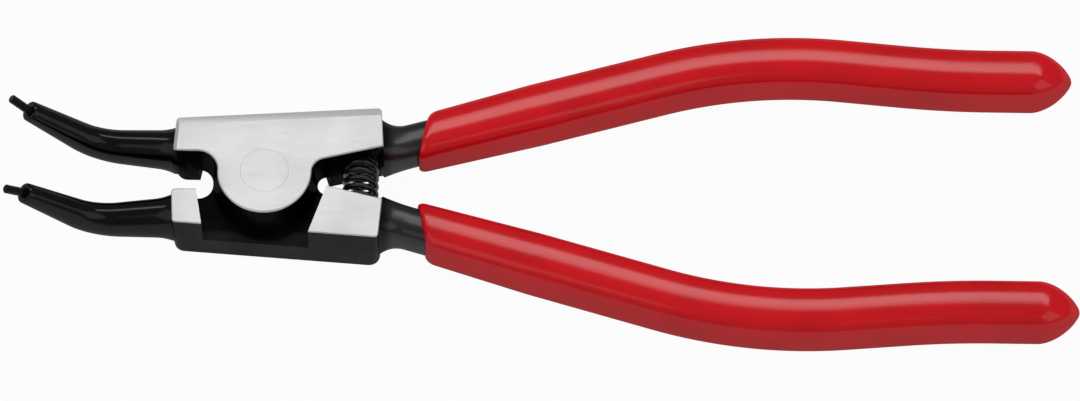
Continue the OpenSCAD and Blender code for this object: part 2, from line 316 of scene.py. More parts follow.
class Finish:
    """Base of the finishes: a Principled material on Object coordinates."""

    name: str = "finish"

    def make(self) -> bpy.types.Material:
        """Builds the material.

        Returns:
            The finished material.
        """
        material = bpy.data.materials.new(self.name)
        nodes = empty_tree(material)
        place = nodes.make("ShaderNodeTexCoord")["Object"]
        shader = nodes.make("ShaderNodeBsdfPrincipled", {}, self.sockets(nodes, place))
        nodes.make("ShaderNodeOutputMaterial", {}, {"Surface": shader["BSDF"]})
        return material

    def sockets(self, nodes: NodeMaker, place: Signal) -> dict[str, Any]:
        """Works out the Principled shader's sockets.

        Args:
            nodes: Maker of the material's tree.
            place: Object coordinates.

        Returns:
            Values and signals by the sockets' names.
        """
        raise NotImplementedError

    @staticmethod
    def bump(nodes: NodeMaker, height: Signal, depth: float) -> Signal:
        """Turns a height pattern into a normal.

        Args:
            nodes: Maker of the material's tree.
            height: The pattern.
            depth: Depth of the relief where the pattern changes by 1.

        Returns:
            The normal.
        """
        inputs = {"Strength": 1.0, "Distance": depth * MM, "Height": height}
        return nodes.make("ShaderNodeBump", {}, inputs)["Normal"]


@dataclass(frozen=True)
class BlackForging(Finish):
    """Burnished black steel with the grain of a blasted forging, greyer on the necks, and painted shade
    inside the joint, where its sheen is turned down.
    """

    name: str = "black_forging"
    colour: Colour = (0.0016, 0.0016, 0.0017)
    worn: Colour = (0.006, 0.006, 0.0063)
    neck: Colour = (0.018, 0.018, 0.0184)
    roughness: float = 0.5
    sheen: float = 0.13
    wear: float = 0.07
    neck_sheen: float = 0.12
    sheen_blur: float = 0.24
    sheen_ior: float = 2.0
    neck_from: float = 20.3
    neck_to: float = 22.3
    neck_even: float = 0.6
    neck_grain: float = 0.8
    # Bounds of the joint's inside, where painted shade turns the sheen down.
    joint_front: float = -15.6
    joint_back: float = 20.1
    joint_half: float = 9.6
    joint_blend: float = 1.0
    joint_painted_shade: float = 0.75
    patches: Noise = Noise(0.16, detail=2)
    grain: Noise = Noise(4.5, detail=4)
    patch_share: float = 0.7
    grain_share: float = 0.5
    worn_from: float = 0.55
    worn_to: float = 0.85
    patch_relief: float = 2.0
    relief: float = 0.012

    def sockets(self, nodes: NodeMaker, place: Signal) -> dict[str, Any]:
        """Works out the Principled shader's sockets.

        Args:
            nodes: Maker of the material's tree.
            place: Object coordinates.

        Returns:
            Values and signals by the sockets' names.
        """
        patches = self.patches.make(nodes, place)
        grain = self.grain.make(nodes, place)
        point = nodes.make("ShaderNodeSeparateXYZ", {}, {0: place})
        worn = (patches * self.patch_share + grain * self.grain_share).ramp(self.worn_from, self.worn_to)
        neck = point["X"].ramp(self.neck_from * MM, self.neck_to * MM)
        grey = neck * (self.neck_even + self.neck_grain * grain)
        black = nodes.mix_colour(worn, rgba(self.colour), rgba(self.worn))
        sheen = self.sheen + neck * self.neck_sheen + (patches + grain - 2 * NOISE_MID) * self.wear
        return {
            "Base Color": nodes.mix_colour(grey, black, rgba(self.neck)),
            "Roughness": self.roughness,
            "Specular IOR Level": 0.0,
            # Painted shade: the sheen is turned down inside the joint, where shade falls.
            "Coat Weight": sheen * (1.0 - self.joint_painted_shade * self.joint_shade_mask(point)),
            "Coat Roughness": self.sheen_blur,
            "Coat IOR": self.sheen_ior,
            "Normal": self.bump(nodes, grain + patches * self.patch_relief, self.relief),
        }

    def joint_shade_mask(self, point: Outputs) -> Signal:
        """Marks the inside of the joint, where the sheen is turned down as painted shade.

        Args:
            point: Object coordinates, by axis.

        Returns:
            1 inside the joint, and 0 on the outer walls, jaws and necks.
        """
        blend = self.joint_blend * MM
        front, back, half = (v * MM for v in (self.joint_front, self.joint_back, self.joint_half))
        past_front = point["X"].ramp(front, front + blend)
        past_back = point["X"].ramp(back - blend, back)
        outside = point["Y"].call("ABSOLUTE").ramp(half - blend, half)
        return past_front * (1.0 - past_back) * (1.0 - outside)


@dataclass(frozen=True)
class GroundSteel(Finish):
    """Bright steel face, ground along the tool."""

    name: str = "ground_steel"
    colour: Colour = (0.595, 0.595, 0.592)
    shade: Colour = (0.51, 0.51, 0.51)
    roughness: float = 0.44
    metal: float = 0.55
    lines: Noise = Noise(7.0, detail=3, stretch=(0.03, 1, 1))
    broad: Noise = Noise(1.6, detail=2, stretch=(0.05, 1, 1))
    cloud: Noise = Noise(0.11, detail=2)
    line_share: float = 0.3
    broad_share: float = 0.25
    cloud_share: float = 0.5
    shade_from: float = 0.25
    shade_to: float = 0.95
    line_blur: float = 0.22
    cloud_blur: float = 0.1
    relief: float = 0.003

    def sockets(self, nodes: NodeMaker, place: Signal) -> dict[str, Any]:
        """Works out the Principled shader's sockets.

        Args:
            nodes: Maker of the material's tree.
            place: Object coordinates.

        Returns:
            Values and signals by the sockets' names.
        """
        lines = self.lines.make(nodes, place)
        broad = self.broad.make(nodes, place)
        cloud = self.cloud.make(nodes, place)
        tone = lines * self.line_share + broad * self.broad_share + cloud * self.cloud_share
        shaded = tone.ramp(self.shade_from, self.shade_to)
        uneven = (lines - NOISE_MID) * self.line_blur + (cloud - NOISE_MID) * self.cloud_blur
        return {
            "Base Color": nodes.mix_colour(shaded, rgba(self.colour), rgba(self.shade)),
            "Roughness": self.roughness + uneven,
            "Metallic": self.metal,
            "Normal": self.bump(nodes, lines + broad, self.relief),
        }


@dataclass(frozen=True)
class DipPlastic(Finish):
    """Glossy red dip coating with the soft waviness of a dipped skin."""

    name: str = "red_dip_plastic"
    colour: Colour = (0.70, 0.0050, 0.0105)
    deep: Colour = (0.58, 0.0035, 0.0075)
    roughness: float = 0.5
    gloss: float = 0.105
    gloss_blur: float = 0.17
    gloss_ior: float = 3.0
    wave: Noise = Noise(0.14, detail=1, stretch=(0.45, 1, 1))
    skin: Noise = Noise(1.5, detail=2)
    handled: Noise = Noise(0.35, detail=4, stretch=(0.5, 1, 1))
    wave_share: float = 0.7
    handled_share: float = 0.4
    deep_from: float = 0.42
    deep_to: float = 0.8
    handled_gloss: float = 0.03
    wave_relief: float = 4.0
    skin_relief: float = 0.35
    relief: float = 0.035

    def sockets(self, nodes: NodeMaker, place: Signal) -> dict[str, Any]:
        """Works out the Principled shader's sockets.

        Args:
            nodes: Maker of the material's tree.
            place: Object coordinates.

        Returns:
            Values and signals by the sockets' names.
        """
        wave = self.wave.make(nodes, place)
        skin = self.skin.make(nodes, place)
        handled = self.handled.make(nodes, place)
        deep = (wave * self.wave_share + handled * self.handled_share).ramp(self.deep_from, self.deep_to)
        height = wave * self.wave_relief + skin * self.skin_relief
        return {
            "Base Color": nodes.mix_colour(deep, rgba(self.colour), rgba(self.deep)),
            "Roughness": self.roughness,
            "Specular IOR Level": 0.0,
            "Coat Weight": self.gloss + (handled - NOISE_MID) * self.handled_gloss,
            "Coat Roughness": self.gloss_blur,
            "Coat IOR": self.gloss_ior,
            "Normal": self.bump(nodes, height, self.relief),
        }


@dataclass(frozen=True)
class SpringWire(Finish):
    """Black spring wire with uneven scale."""

    name: str = "spring_wire"
    colour: Colour = (0.006, 0.006, 0.0065)
    bright: Colour = (0.02, 0.02, 0.021)
    marks: Noise = Noise(2.6, detail=4)
    bright_from: float = 0.45
    bright_to: float = 0.75
    roughness: float = 0.30
    blur: float = 0.2
    specular: float = 0.4
    relief: float = 0.006

    def sockets(self, nodes: NodeMaker, place: Signal) -> dict[str, Any]:
        """Works out the Principled shader's sockets.

        Args:
            nodes: Maker of the material's tree.
            place: Object coordinates.

        Returns:
            Values and signals by the sockets' names.
        """
        marks = self.marks.make(nodes, place)
        rubbed = marks.ramp(self.bright_from, self.bright_to)
        return {
            "Base Color": nodes.mix_colour(rubbed, rgba(self.colour), rgba(self.bright)),
            "Roughness": self.roughness + (marks - NOISE_MID) * self.blur,
            "Specular IOR Level": self.specular,
            "Normal": self.bump(nodes, marks, self.relief),
        }


@dataclass(frozen=True)
class TipSteel(SpringWire):
    """Hard black pin, finished like the wire but darker and finer."""

    name: str = "tip_steel"
    colour: Colour = (0.004, 0.004, 0.0045)
    bright: Colour = (0.012, 0.012, 0.0125)
    marks: Noise = Noise(3.5, detail=3)
    bright_from: float = 0.5
    bright_to: float = 0.8
    roughness: float = 0.32
    blur: float = 0.18
    specular: float = 0.1
    relief: float = 0.004


@dataclass
class Palette:
    """The materials of all the finishes, made once."""

    forging: bpy.types.Material = field(default_factory=BlackForging().make)
    # Painted shade: a near sheenless black for the channel's floor, which lies in shade.
    channel: bpy.types.Material = field(
        default_factory=BlackForging("channel_painted_shade", sheen=0.02, wear=0.01).make
    )
    jaw: bpy.types.Material = field(
        default_factory=BlackForging(
            "jaw_forging",
            colour=(0.0004, 0.0004, 0.0004),
            worn=(0.0015, 0.0015, 0.0016),
            sheen=0.18,
            sheen_blur=0.17,
        ).make
    )
    ground: bpy.types.Material = field(default_factory=GroundSteel().make)
    dip: bpy.types.Material = field(default_factory=DipPlastic().make)
    wire: bpy.types.Material = field(default_factory=SpringWire().make)
    tip: bpy.types.Material = field(default_factory=TipSteel().make)


def link(name: str, mesh: bpy.types.Mesh) -> bpy.types.Object:
    """Puts a mesh into the scene.

    Args:
        name: Name of the object.
        mesh: Its mesh.

    Returns:
        The object, at the origin.
    """
    piece = bpy.data.objects.new(name, mesh)
    bpy.context.scene.collection.objects.link(piece)
    return piece


@contextmanager
def opened(mesh: bpy.types.Mesh) -> Iterator[bmesh.types.BMesh]:
    """Opens a mesh for changes and writes them back.

    Args:
        mesh: The mesh that changes.

    Yields:
        The working copy.
    """
    work = bmesh.new()
    try:
        work.from_mesh(mesh)
        yield work
        work.to_mesh(mesh)
    finally:
        work.free()


def mesh_from(name: str, build: Callable[[bmesh.types.BMesh], None]) -> bpy.types.Mesh:
    """Builds a mesh with outward faces.

    Args:
        name: Name of the mesh.
        build: Fills the empty bmesh, in metres.

    Returns:
        The new mesh.
    """
    mesh = bpy.data.meshes.new(name)
    with opened(mesh) as work:
        build(work)
        bmesh.ops.recalc_face_normals(work, faces=work.faces)
    return mesh


def lofted(name: str, rings: Sequence[np.ndarray]) -> bpy.types.Mesh:
    """Lays a closed skin over rings of points.

    Args:
        name: Name of the mesh.
        rings: Rings with equal numbers of points, in millimetres.

    Returns:
        The skin, with a face over each end.
    """

    def build(work: bmesh.types.BMesh) -> None:
        """Adds the rings, the walls between them and the two end faces.

        Args:
            work: The bmesh that is filled.
        """
        loops = [[work.verts.new(point * MM) for point in ring] for ring in rings]
        count = len(loops[0])
        for low, high in zip(loops, loops[1:]):
            for i in range(count):
                k = (i + 1) % count
                work.faces.new((low[i], low[k], high[k], high[i]))
        work.faces.new(loops[0])
        work.faces.new(loops[-1])

    return mesh_from(name, build)


def settle(piece: bpy.types.Object) -> None:
    """Works the piece's modifiers into its mesh and removes them.

    Args:
        piece: The piece that changes.
    """
    bpy.context.view_layer.update()
    graph = bpy.context.evaluated_depsgraph_get()
    mesh = bpy.data.meshes.new_from_object(piece.evaluated_get(graph), depsgraph=graph)
    piece.modifiers.clear()
    piece.data = mesh


class Carving(Enum):
    """How a tool mesh changes a piece."""

    JOIN = "UNION"
    CUT = "DIFFERENCE"


def carve(piece: bpy.types.Object, tool: bpy.types.Mesh, how: Carving) -> None:
    """Joins a tool mesh to a piece or cuts it away, and merges the slivers that this leaves.

    Args:
        piece: The piece that changes.
        tool: A closed mesh, which is used up.
        how: Whether the tool is joined or cut away.
    """
    helper = link("carving_tool", tool)
    modifier = piece.modifiers.new("carve", "BOOLEAN")
    modifier.operation = how.value
    modifier.solver = "EXACT"
    modifier.object = helper
    settle(piece)
    bpy.data.objects.remove(helper)
    with opened(piece.data) as work:
        bmesh.ops.remove_doubles(work, verts=work.verts, dist=SLIVER)
        bmesh.ops.dissolve_degenerate(work, edges=work.edges, dist=SLIVER / 2)


def round_turns(sides: int) -> np.ndarray:
    """Angles of a round section's points, in radians."""
    return np.linspace(0, 2 * math.pi, sides, endpoint=False)


def disc(radius: float, z: float, sides: int) -> np.ndarray:
    """Ring of points round the upright axis, at height z."""
    return np.array([(radius * math.cos(t), radius * math.sin(t), z) for t in round_turns(sides)])


def arc(centre: Sequence[float], radius: float, first: float, last: float, steps: int) -> list[np.ndarray]:
    """Points along an arc between two angles in degrees."""
    turns = np.radians(np.linspace(first, last, steps + 1))
    return [np.array((centre[0] + radius * math.cos(a), centre[1] + radius * math.sin(a))) for a in turns]


def meeting(p: np.ndarray, a: float, q: np.ndarray, b: float) -> np.ndarray:
    """Finds where two lines meet.

    Args:
        p: A point of the first line.
        a: Heading of the first line, in degrees.
        q: A point of the second line.
        b: Heading of the second line, in degrees.

    Returns:
        The point that they share.
    """
    a, b = math.radians(a), math.radians(b)
    run = ((q[0] - p[0]) * math.sin(b) - (q[1] - p[1]) * math.cos(b)) / math.sin(b - a)
    return p + run * np.array((math.cos(a), math.sin(a)))


def rounded(corner: np.ndarray, a: float, b: float, radius: float, steps: int) -> list[np.ndarray]:
    """Puts an arc in place of a corner.

    Args:
        corner: Where the two walls would meet.
        a: Heading of the wall that arrives, in degrees.
        b: Heading of the wall that leaves, in degrees.
        radius: Radius of the arc.
        steps: Number of steps along it.

    Returns:
        The arc's points.
    """
    c, n = math.cos(math.radians(a)), math.sin(math.radians(a))
    run = radius * math.tan(math.radians(b - a) / 2)
    centre = corner - run * np.array((c, n)) + radius * np.array((-n, c))
    return arc(centre, radius, a - 90, b - 90, steps)


@dataclass(frozen=True)
class Path:
    """A flat path of straights and bends, followed by its length.

    A station is a place with its heading in degrees. A leg (length, 0) is straight, and a leg
    (radius, turn) bends left, or right where the turn is below zero.
    """

    start: Station
    legs: tuple[Leg, ...]

    @property
    def length(self) -> float:
        """Length of all the legs."""
        return sum(self.leg_length(leg) for leg in self.legs)

    @staticmethod
    def leg_length(leg: Leg) -> float:
        """Length of one leg."""
        size, turn = leg
        return size if turn == 0 else size * math.radians(abs(turn))

    @staticmethod
    def _ahead(station: Station, run: float, leg: Leg) -> Station:
        """Follows one leg.

        Args:
            station: Where the leg starts.
            run: How far it is followed.
            leg: The leg.

        Returns:
            The station that is reached.
        """
        x, y, heading = station
        size, turn = leg
        a = math.radians(heading)
        if turn == 0:
            return (x + run * math.cos(a), y + run * math.sin(a), heading)
        side = math.copysign(1, turn)
        h = a + side * run / size
        return (
            x + side * size * (math.sin(h) - math.sin(a)),
            y - side * size * (math.cos(h) - math.cos(a)),
            math.degrees(h),
        )

    def at(self, s: float) -> Station:
        """Follows the path from its start.

        Args:
            s: Length along the path. Below zero, the first leg reaches back.

        Returns:
            The station that is reached.
        """
        station = self.start
        for leg in self.legs[:-1]:
            run = self.leg_length(leg)
            if s <= run:
                return self._ahead(station, s, leg)
            station = self._ahead(station, run, leg)
            s -= run
        return self._ahead(station, s, self.legs[-1])


@dataclass
class JointBody:
    """The lap joint's body: a round cheek, a channel for the other cheek, and ground faces."""

    turned_over: bool = False
    thickness: float = 11.0
    cheek_r: float = 8.0
    front: float = 15.6
    back: float = 20.1
    outer_front: float = 10.3
    outer_back: float = 12.8
    inner_front: float = 3.7
    inner_angle: float = 14.2
    front_fillet: float = 3.5
    back_fillet: float = 2.6
    front_corner_r: float = 0.7
    rear_corner_r: float = 2.0
    channel_front: float = 12.2
    channel_back: float = 11.6
    channel_overrun: float = 2.0
    lean_front: float = 10.0
    lean_back: float = 18.0
    cheek_gap: float = 0.06
    draft_in: float = 10.0
    draft_out: float = 2.0
    bevel_w: float = 1.5
    bevel_slope: float = 13.0
    end_bevel_w: float = 0.6
    end_bevel_slope: float = 40.0
    jaw_y: float = 6.5
    jaw_splay: float = 3.3
    handle_y: float = 6.6
    broken_edge: float = 0.25
    edge_steps: int = 4
    corner_steps: int = 10
    fillet_steps: int = 14
    cheek_steps: int = 96
    sharp_angle: float = 38.0

    @property
    def mid(self) -> float:
        """Height of the parting plane."""
        return self.thickness / 2

    @property
    def wall_tilt(self) -> float:
        """Angle of the outer wall to the centre line."""
        return math.degrees(math.atan((self.outer_back - self.outer_front) / (self.back + self.front)))

    @property
    def front_end(self) -> np.ndarray:
        """A point of the jaw-end face."""
        return np.array((-self.front, self.jaw_y))

    @property
    def back_end(self) -> np.ndarray:
        """A point of the handle-end face."""
        return np.array((self.back, self.handle_y))

    @property
    def jaw_root(self) -> Matrix:
        """Where the upper jaw starts, with X along the jaw."""
        place = Matrix.Translation(Vector((-self.front, self.jaw_y, self.mid)) * MM)
        return place @ Matrix.Rotation(math.radians(180 - self.jaw_splay), 4, "Z")

    def outer_wall(self, z: float, inset: float = 0.0) -> np.ndarray:
        """Where the outer wall starts at the jaw end, at height z, moved in by an inset."""
        draft = abs(z - self.mid) * math.tan(math.radians(self.draft_out))
        return np.array((-self.front, self.outer_front - draft - inset))

    def corner_r(self, z: float) -> float:
        """Radius of the corners at height z of the body before it is turned over."""
        share = (self.thickness - z if self.turned_over else z) / self.thickness
        return self.rear_corner_r + (self.front_corner_r - self.rear_corner_r) * share

    def corner_back_out(self, z: float, inset: float = 0.0) -> np.ndarray:
        """Outer corner at the handle end, before it is rounded."""
        end = self.back_end - (inset, 0)
        return meeting(end, 90 + self.wall_tilt, self.outer_wall(z, inset), self.wall_tilt)

    def outline(self, z: float, inset: float = 0.0) -> np.ndarray:
        """Draws the body's outline at one height.

        Args:
            z: The height.
            inset: How far the outline is drawn in all round.

        Returns:
            The outline's points, each with its height.
        """
        grow = (self.mid - abs(z - self.mid)) * math.tan(math.radians(self.draft_in)) - inset
        front_y = self.inner_front - self.front_fillet
        front_c = (-math.sqrt((self.cheek_r + self.front_fillet) ** 2 - front_y**2), front_y)
        reach = self.cheek_r + self.back_fillet
        back_a = self.inner_angle - math.degrees(math.asin(self.back_fillet / reach))
        back_c = (reach * math.cos(math.radians(back_a)), reach * math.sin(math.radians(back_a)))
        cheek_a = math.degrees(math.atan2(front_c[1], front_c[0]))
        inner = math.radians(self.inner_angle)
        front_in = np.array((0.0, self.inner_front - grow))
        back_in = grow * np.array((math.sin(inner), -math.cos(inner)))
        front_h, back_h, wall_h = 90 - self.jaw_splay, 90 + self.wall_tilt, self.wall_tilt
        front_end = self.front_end + (inset, 0)
        front_out = meeting(front_end, front_h, self.outer_wall(z, inset), wall_h)
        corner_r, turn = self.corner_r(z) - inset, self.corner_steps
        points = [
            *rounded(front_out, 180 + wall_h, 180 + front_h, corner_r, turn),
            *rounded(meeting(front_end, front_h, front_in, 0), 180 + front_h, 360, corner_r, turn),
            *arc(front_c, self.front_fillet - grow, 90, cheek_a - 180, self.fillet_steps),
            *arc((0, 0), self.cheek_r + grow, cheek_a, 360 + back_a, self.cheek_steps),
            *arc(back_c, self.back_fillet - grow, back_a + 180, self.inner_angle + 90, self.fillet_steps),
            meeting(self.back_end - (inset, 0), back_h, back_in, self.inner_angle),
            *rounded(self.corner_back_out(z, inset), back_h, 180 + wall_h, corner_r, turn),
        ]
        return np.array([(x, y, z) for x, y in points])

    def channel(self) -> bpy.types.Mesh:
        """Builds the room that is cut out for the other lever's cheek.

        Returns:
            A closed mesh with leaning walls, longer than the body.
        """
        reach = self.front + self.back
        tan_front, tan_back = (math.tan(math.radians(a)) for a in (self.lean_front, self.lean_back))
        outline = [
            (-self.channel_front - reach * tan_front, -reach),
            (self.channel_back + reach * tan_back, -reach),
            (self.channel_back - reach * tan_back, reach),
            (-self.channel_front + reach * tan_front, reach),
        ]
        levels = (-self.channel_overrun, self.mid + self.cheek_gap / 2)
        return lofted("channel", [np.array([(x, y, z) for x, y in outline]) for z in levels])

    def planed(self, mesh: bpy.types.Mesh) -> None:
        """Planes the two sloping bevels off the front face.

        Args:
            mesh: The body's mesh, which changes.
        """
        edge = self.outer_wall(self.thickness)
        cuts = (
            (edge, self.wall_tilt, self.bevel_w, self.bevel_slope),
            (self.front_end, 90 - self.jaw_splay, self.end_bevel_w, self.end_bevel_slope),
        )
        with opened(mesh) as work:
            for place, heading, width, slope in cuts:
                spot = Matrix.Translation((place[0], place[1], self.thickness))
                turn = spot @ Matrix.Rotation(math.radians(heading), 4, "Z")
                point = turn @ Vector((0, -width, 0))
                lean = turn.to_3x3() @ Matrix.Rotation(math.radians(-slope), 3, "X") @ Vector((0, 0, 1))
                cut = bmesh.ops.bisect_plane(
                    work,
                    geom=[*work.verts, *work.edges, *work.faces],
                    plane_co=point * MM,
                    plane_no=lean,
                    clear_outer=True,
                )["geom_cut"]
                rim = [part for part in cut if isinstance(part, bmesh.types.BMEdge)]
                bmesh.ops.contextual_create(work, geom=rim)
            bmesh.ops.recalc_face_normals(work, faces=work.faces)

    def build(self) -> bpy.types.Object:
        """Builds the upper lever's body.

        Returns:
            The body with its channel, bevels and broken edges.
        """
        edge = self.broken_edge
        turns = np.radians(np.linspace(0, 90, self.edge_steps + 1))
        steps = [(edge * (1 - math.sin(a)), edge * (1 - math.cos(a))) for a in turns]
        rings = [self.outline(drop, inset) for drop, inset in reversed(steps)]
        rings.append(self.outline(self.mid))
        rings += [self.outline(self.thickness - drop, inset) for drop, inset in steps]
        mesh = lofted("joint_body", rings)
        self.planed(mesh)
        body = link("joint_body", mesh)
        carve(body, self.channel(), Carving.CUT)
        return body


@dataclass
class Jaw:
    """A tapered jaw, bent up out of the plane of the tool, with a blunt end."""

    straight: float = 8.8
    bend: float = 44.0
    bend_r: float = 11.0
    nose: float = 11.4
    width: float = 6.6
    height: float = 8.4
    end_d: float = 3.5
    overlap: float = 2.0
    flare: float = 0.5
    flare_len: float = 3.0
    flare_power: int = 2
    end_edge: float = 0.35
    end_shares: tuple[float, ...] = (0.3, 0.65, 1.0)
    root_rings: int = 8
    shaft_rings: int = 40
    sides: int = 64

    @property
    def path(self) -> Path:
        """The jaw's centre line, in its own upright plane."""
        return Path((0.0, 0.0, 0.0), ((self.straight, 0), (self.bend_r, self.bend), (self.nose, 0)))

    def half(self, root: float, s: float) -> float:
        """Half of a size that is root at the body, at a length s along the jaw."""
        grown_out = self.flare * max(0.0, 1 - max(s, 0.0) / self.flare_len) ** self.flare_power
        return root / 2 + (self.end_d - root) / 2 * max(s, 0.0) / self.path.length + grown_out

    def ring(self, s: float, shrink: float = 0.0) -> np.ndarray:
        """Draws a section of the jaw.

        Args:
            s: Length along the jaw.
            shrink: How much smaller than the full section it is.

        Returns:
            The section's points.
        """
        x, z, heading = self.path.at(s)
        c, n = math.cos(math.radians(heading)), math.sin(math.radians(heading))
        a, b = self.half(self.width, s) - shrink, self.half(self.height, s) - shrink
        points = [
            (x - n * b * math.sin(t), a * math.cos(t), z + c * b * math.sin(t))
            for t in round_turns(self.sides)
        ]
        return np.array(points)

    def build(self, body: JointBody) -> bpy.types.Mesh:
        """Builds the upper jaw in its place.

        Args:
            body: The joint body that it grows out of.

        Returns:
            The jaw's closed mesh.
        """
        length, edge = self.path.length, self.end_edge
        root = np.linspace(0, self.flare_len, self.root_rings)
        shaft = np.linspace(self.flare_len, length - edge, self.shaft_rings)[1:]
        rings = [self.ring(s) for s in (-self.overlap, *root, *shaft)]
        for share in self.end_shares:
            a = share * math.pi / 2
            rings.append(self.ring(length - edge * (1 - math.sin(a)), edge * (1 - math.cos(a))))
        mesh = lofted("jaw", rings)
        mesh.transform(body.jaw_root)
        return mesh


@dataclass
class Handle:
    """The handle's course and its steel core."""

    angle: float = 16.7
    straight: float = 49.6
    bow_r: float = 83.0
    tail_angle: float = 5.2
    tail_straight: float = 10.5
    reverse_r: float = 165.0
    tail_end: float = 14.4
    core_w: float = 6.6
    core_h: float = 7.4
    neck_len: float = 4.8
    neck_edge: float = 0.2
    neck_power: int = 2
    overlap: float = 2.0
    root_shrink: float = 1.0
    plug: float = 6.0
    nose: float = 0.25
    squareness: float = 2.9
    neck_rings: int = 16
    neck_crowding: float = 1.5
    shaft_rings: int = 48
    sides: int = 64

    def path(self, body: JointBody) -> Path:
        """Lays out the handle's centre line.

        Args:
            body: The joint body that the handle starts from.

        Returns:
            The path, from the body's end.
        """
        return Path(
            (body.back, body.handle_y, self.angle),
            (
                (self.straight, 0),
                (self.bow_r, -self.angle - self.tail_angle),
                (self.tail_straight, 0),
                (self.reverse_r, self.tail_angle),
                (self.tail_end, 0),
            ),
        )

    def core_len(self, body: JointBody) -> float:
        """Length of the steel inside the coating."""
        return self.path(body).length - self.plug

    def oblong(self, c: float) -> float:
        """Rounded oblong in place of a sine or cosine."""
        return math.copysign(abs(c) ** (2 / self.squareness), c)

    def ring(
        self,
        body: JointBody,
        s: float,
        half_w: float,
        half_h: float,
        shift: float = 0.0,
        slant: float = 0.0,
    ) -> np.ndarray:
        """Draws a section across the handle.

        Args:
            body: The joint body that the handle starts from.
            s: Length along the handle.
            half_w: Half of the width.
            half_h: Half of the height.
            shift: Sideways shift of the section.
            slant: How far it leans along the handle, per unit of width.

        Returns:
            The section's points.
        """
        x, y, heading = self.path(body).at(s)
        c, n = math.cos(math.radians(heading)), math.sin(math.radians(heading))
        points = []
        for t in round_turns(self.sides):
            u = half_w * self.oblong(math.cos(t)) + shift
            v = half_h * self.oblong(math.sin(t))
            points.append((x - n * u + slant * u * c, y + c * u + slant * u * n, body.mid + v))
        return np.array(points)

    def build_core(self, body: JointBody) -> bpy.types.Mesh:
        """Builds the upper handle's core with its flared neck.

        Args:
            body: The joint body that it grows out of.

        Returns:
            The core's closed mesh.
        """
        half_w, half_h = self.core_w / 2, self.core_h / 2
        tilt = self.angle - body.wall_tilt
        lean = math.tan(math.radians(tilt))
        corner = body.corner_back_out(0.0) - body.back_end
        wall = math.radians(body.wall_tilt)
        reach = float(corner @ np.array((-math.sin(wall), math.cos(wall))))
        out = reach * math.cos(math.radians(tilt)) - body.corner_r(body.mid) / 2 - self.neck_edge
        grow_w, grow_h = (out - half_w) / 2, body.mid - self.neck_edge - half_h
        length = self.core_len(body)
        rings = [self.ring(body, -self.overlap, half_w - self.root_shrink, half_h, grow_w, lean)]
        neck = self.neck_len * np.linspace(0, 1, self.neck_rings) ** self.neck_crowding
        shaft = np.linspace(self.neck_len, length - half_w, self.shaft_rings)[1:]
        for s in (*neck, *shaft, length):
            near = max(0.0, 1 - s / self.neck_len)
            flare = near**self.neck_power
            loss = self.nose * max(0.0, half_w - (length - s))
            wide, high = half_w - loss + flare * grow_w, half_h - loss + flare * grow_h
            rings.append(self.ring(body, s, wide, high, flare * grow_w, lean * near))
        return lofted("handle_core", rings)


@dataclass
class Rivet:
    """Sizes of the flush rivet that the levers are bored for."""

    radius: float = 3.0
    flare: float = 1.1
    depth: float = 1.3
    play: float = 0.03
    overrun: float = 1.0
    sides: int = 96

    def bore(self, thickness: float) -> bpy.types.Mesh:
        """Builds the room for the rivet.

        Args:
            thickness: Thickness of the joint.

        Returns:
            A through hole with a countersink at the front face.
        """
        r = self.radius + self.play
        wide = r + self.flare
        top = thickness + self.overrun
        levels = ((-self.overrun, r), (thickness - self.depth, r), (thickness, wide), (top, wide))
        return lofted("rivet_bore", [disc(radius, z, self.sides) for z, radius in levels])


class GeometryGroup:
    """A geometry tree with named sizes, which bends a plain tube into its shape."""

    def __init__(self, name: str, sizes: Sequence[str]) -> None:
        """Makes the tree.

        Args:
            name: Name of the tree.
            sizes: Names of its float inputs.
        """
        self.tree = bpy.data.node_groups.new(name, "GeometryNodeTree")
        self.tree.interface.new_socket("Geometry", in_out="INPUT", socket_type="NodeSocketGeometry")
        for size in sizes:
            self.tree.interface.new_socket(size, in_out="INPUT", socket_type="NodeSocketFloat")
        self.tree.interface.new_socket("Geometry", in_out="OUTPUT", socket_type="NodeSocketGeometry")
        self.nodes = NodeMaker(self.tree)
        self.inputs = self.nodes.make("NodeGroupInput")

    def __getitem__(self, name: str) -> Signal:
        """One of the tree's inputs."""
        return self.inputs[name]

    def tube(self, rings: int, sides: int) -> Signal:
        """Adds a straight capped tube, whose points run round each ring in turn.

        Args:
            rings: Number of rings.
            sides: Number of points in a ring.

        Returns:
            The tube.
        """
        line = self.nodes.make("GeometryNodeMeshLine", {}, {"Count": rings})["Mesh"]
        spine = self.nodes.make("GeometryNodeMeshToCurve", {}, {"Mesh": line})["Curve"]
        circle = self.nodes.make("GeometryNodeCurvePrimitiveCircle", {}, {"Resolution": sides})["Curve"]
        inputs = {"Curve": spine, "Profile Curve": circle, "Fill Caps": True}
        return self.nodes.make("GeometryNodeCurveToMesh", {}, inputs)["Mesh"]

    def ring_and_angle(self, sides: int) -> tuple[Signal, Signal]:
        """Reads a point's place in the tube from its index.

        Args:
            sides: Number of points in a ring.

        Returns:
            The number of the point's ring, and its angle round that ring.
        """
        half_step = 0.5
        index = self.nodes.make("GeometryNodeInputIndex")["Index"]
        ring = ((index + half_step) / sides).call("FLOOR")
        return ring, (index - ring * sides) * (2 * math.pi / sides)

    def finish(self, tube: Signal, place: Signal, material: bpy.types.Material) -> None:
        """Moves the tube's points to their places, and ends the tree with its finish.

        Args:
            tube: The straight tube.
            place: Where each of its points goes.
            material: The finish.
        """
        moved = self.nodes.make("GeometryNodeSetPosition", {}, {"Geometry": tube, "Position": place})
        real = self.nodes.make("GeometryNodeRealizeInstances", {}, {"Geometry": moved["Geometry"]})
        inputs = {"Geometry": real["Geometry"], "Material": material}
        dressed = self.nodes.make("GeometryNodeSetMaterial", {}, inputs)
        self.nodes.make("NodeGroupOutput", {}, {"Geometry": dressed["Geometry"]})


